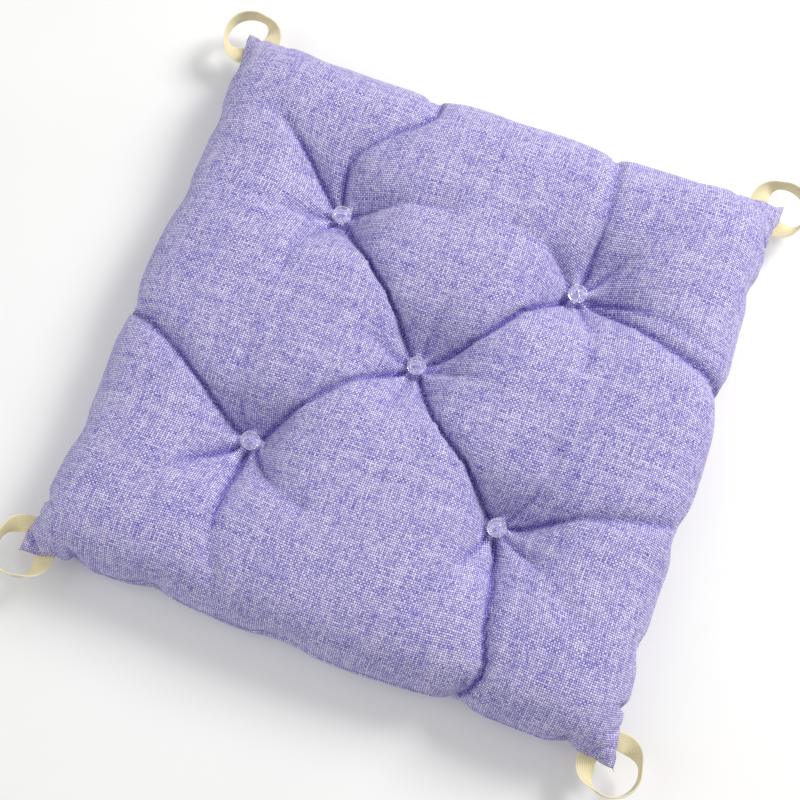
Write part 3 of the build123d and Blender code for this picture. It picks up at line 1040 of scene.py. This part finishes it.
def band_mesh(corner, sizes):
    """A ribbed elastic band, sewn in at both ends and turned on edge round the tip."""
    low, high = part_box("band_" + corner)
    ends_low, ends_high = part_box("band_ends_" + corner)
    thick = ends_high.z - ends_low.z
    wide = high.z - low.z
    sx, sy = signs(corner)
    reach = max(abs(low.x), abs(high.x)) - BAND_RADIUS - thick / 2
    middle = Vector((reach, reach, (low.z + high.z) / 2))
    rows = []
    arc = BAND_RADIUS * BAND_TURN
    total = arc + 2 * sizes.sewn_in
    for i in range(BAND_STEPS + 1):
        run = total * i / BAND_STEPS - sizes.sewn_in
        angle = min(max(run / BAND_RADIUS, 0.0), BAND_TURN)
        share = min(1.0, min(angle, BAND_TURN - angle) / BAND_TWIST)
        tilt = math.pi / 2 * share * share * (3 - 2 * share)
        outward = Vector((-math.cos(angle), math.sin(angle), 0))
        along = Vector((math.sin(angle), math.cos(angle), 0))
        centre = middle + outward * BAND_RADIUS
        if run < 0:
            centre += along * run
        elif run > arc:
            centre += along * (run - arc)
        up = Vector((0, 0, 1))
        across = outward * math.cos(tilt) + up * math.sin(tilt)
        through = up * math.cos(tilt) - outward * math.sin(tilt)
        rows.append((centre, across, through, run))
    half = wide / 2
    cells = sizes.ribs * 4
    section = []
    for face in (1, -1):
        for k in range(cells + 1):
            p = face * (half - wide * k / cells)
            edge = max(0.0, 1 - (abs(p) / half) ** 10) ** 0.5
            rib = abs(math.sin(math.pi * sizes.ribs * (p + half) / wide))
            level = face * (thick / 2 * edge * 0.86 + 0.08 * thick * rib)
            section.append((p * 0.998, level if abs(p) < half * 0.9999 else 0.0))
    places, marks, faces = [], [], []
    size = len(section)
    for centre, across, through, run in rows:
        for p, q in section:
            point = centre + across * p + through * q
            places.append((sx * point.x, sy * point.y, point.z))
            marks.append((p, run, 0.0 if q > 0 else 0.05))
    for i in range(BAND_STEPS):
        for k in range(size):
            a, b = i * size + k, i * size + (k + 1) % size
            quad = (a, b, b + size, a + size)
            faces.append(quad if sx * sy > 0 else tuple(reversed(quad)))
    mesh = bpy.data.meshes.new("elastic_" + corner)
    caps = [tuple(range(size - 1, -1, -1)), tuple(BAND_STEPS * size + k for k in range(size))]
    faces += caps if sx * sy > 0 else [tuple(reversed(cap)) for cap in caps]
    mesh.from_pydata(places, [], faces)
    store(mesh, "band_place", np.array(marks, float))
    mesh.validate()
    mesh.shade_smooth()
    return mesh


class SEATPAD_OT_bands(bpy.types.Operator):
    """Make the four elastic bands that loop round the tips"""

    bl_idname = "seatpad.bands"
    bl_label = "Elastic bands"

    def execute(self, context):
        sizes = context.scene.seat_pad_bands
        material = elastic_material(sizes)
        joints = {joint["name"]: joint for joint in frame["joints"]}
        for corner in CORNERS:
            obj = new_piece(context, "elastic_" + corner, band_mesh(corner, sizes), material)
            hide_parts("band_" + corner, "band_ends_" + corner)
            if "band_" + corner + "_swing" not in joints:
                raise RuntimeError("no swing joint for the band at " + corner)
            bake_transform(obj)
        return {"FINISHED"}


class SEATPAD_OT_buttons(bpy.types.Operator):
    """Give the five pairs of buttons their clear plastic"""

    bl_idname = "seatpad.buttons"
    bl_label = "Clear buttons"

    def execute(self, context):
        material = button_material(context.scene.seat_pad_buttons)
        for tuft in TUFTS:
            for side in ("top", "bottom"):
                paint(frame["nodes"]["button_" + side + "_" + tuft], material)
        return {"FINISHED"}


class SEATPAD_OT_tuft_threads(bpy.types.Operator):
    """Give the tufting threads their twisted polyester"""

    bl_idname = "seatpad.tuft_threads"
    bl_label = "Tufting threads"

    def execute(self, context):
        sizes = context.scene.seat_pad_threads
        material = thread_material("tufting_polyester", tuple(sizes.colour), 0.0006, False)
        for tuft in TUFTS:
            paint(frame["nodes"]["tuft_thread_" + tuft], material)
        return {"FINISHED"}


# ---- the stage


class SEATPAD_OT_stage(bpy.types.Operator):
    """Set the pale floor, the soft light and the camera"""

    bl_idname = "seatpad.stage"
    bl_label = "Stage"

    def execute(self, context):
        sizes = context.scene.seat_pad_stage
        scene = context.scene
        rim, radius = 64, 4.0
        turns = [2 * math.pi * k / rim for k in range(rim)]
        places = [(radius * math.cos(turn), radius * math.sin(turn), 0.0) for turn in turns]
        mesh = bpy.data.meshes.new("pale_floor")
        mesh.from_pydata(places, [], [tuple(range(rim))])
        made, g, surface = new_material("pale_floor_paint")
        place = g.node("ShaderNodeTexCoord").outputs["Object"]
        patch = g.ranged(g.noise(place, 6.0, 3.0), 0.35, 0.65)
        pale = tuple(sizes.floor)
        g.put(surface["Base Color"], g.mixed(patch, pale, tuple(0.985 * c for c in pale)))
        surface["Roughness"].default_value = 0.7
        floor = new_piece(context, "pale_floor", mesh, made)
        floor.location.z = -0.0002

        target = Vector(sizes.target)
        level, rise = math.cos(sizes.elevation), math.sin(sizes.elevation)
        back = Vector((math.sin(sizes.azimuth) * level, -math.cos(sizes.azimuth) * level, rise))
        camera = bpy.data.objects.new("camera", bpy.data.cameras.new("camera"))
        scene.collection.objects.link(camera)
        camera.location = target + back * sizes.distance
        camera.rotation_euler = (-back).to_track_quat("-Z", "Y").to_euler()
        camera.data.lens = sizes.lens
        camera.data.sensor_width = 36.0
        scene.camera = camera

        world = bpy.data.worlds.new("soft_daylight")
        world.use_nodes = True
        sky = world.node_tree.nodes["Background"]
        sky.inputs["Color"].default_value = (1.0, 1.0, 1.0, 1.0)
        sky.inputs["Strength"].default_value = sizes.daylight
        scene.world = world

        lamps = (
            ("key_lamp", (0.95, 1.15, 1.15), 0.7, sizes.key, (1.0, 0.985, 0.96)),
            ("fill_lamp", (-1.3, -0.6, 1.2), 1.4, sizes.key * 0.25, (0.96, 0.98, 1.0)),
        )
        for name, place, size, power, colour in lamps:
            lamp = bpy.data.objects.new(name, bpy.data.lights.new(name, "AREA"))
            lamp.data.size = size
            lamp.data.energy = power
            lamp.data.color = colour
            lamp.location = place
            lamp.rotation_euler = (-Vector(place)).to_track_quat("-Z", "Y").to_euler()
            scene.collection.objects.link(lamp)
        scene.view_settings.view_transform = "Standard"
        return {"FINISHED"}


class SEATPAD_PT_panel(bpy.types.Panel):
    """Sizes and colours of the seat pad, and the steps that make it"""

    bl_label = "Seat Pad"
    bl_idname = "SEATPAD_PT_panel"
    bl_space_type = "VIEW_3D"
    bl_region_type = "UI"
    bl_category = "Seat Pad"

    def draw(self, context):
        layout = self.layout
        for group in GROUPS:
            box = layout.box()
            box.label(text=GROUPS[group][1])
            settings = getattr(context.scene, group)
            for name in GROUPS[group][0].__annotations__:
                box.prop(settings, name)
        for operator in OPERATORS:
            layout.operator(operator.bl_idname)


GROUPS = {
    "seat_pad_cloth": (ClothSizes, "Cloth"),
    "seat_pad_bands": (BandSizes, "Bands"),
    "seat_pad_threads": (ThreadSizes, "Threads"),
    "seat_pad_buttons": (ButtonSizes, "Buttons"),
    "seat_pad_stage": (StageSizes, "Stage"),
}
OPERATORS = (
    SEATPAD_OT_stage,
    SEATPAD_OT_cover,
    SEATPAD_OT_closing_stitches,
    SEATPAD_OT_bands,
    SEATPAD_OT_buttons,
    SEATPAD_OT_tuft_threads,
)
CLASSES = tuple(entry[0] for entry in GROUPS.values()) + OPERATORS + (SEATPAD_PT_panel,)


def register():
    for made in CLASSES:
        bpy.utils.register_class(made)
    for name, (group, _) in GROUPS.items():
        setattr(bpy.types.Scene, name, bpy.props.PointerProperty(type=group))


def unregister():
    for name in GROUPS:
        delattr(bpy.types.Scene, name)
    for made in reversed(CLASSES):
        bpy.utils.unregister_class(made)


def main():
    register()
    make_weave_group()
    make_fibre_group()
    make_twist_group()
    for operator in OPERATORS:
        family, name = operator.bl_idname.split(".")
        getattr(getattr(bpy.ops, family), name)()


if __name__ == "__main__":
    main()
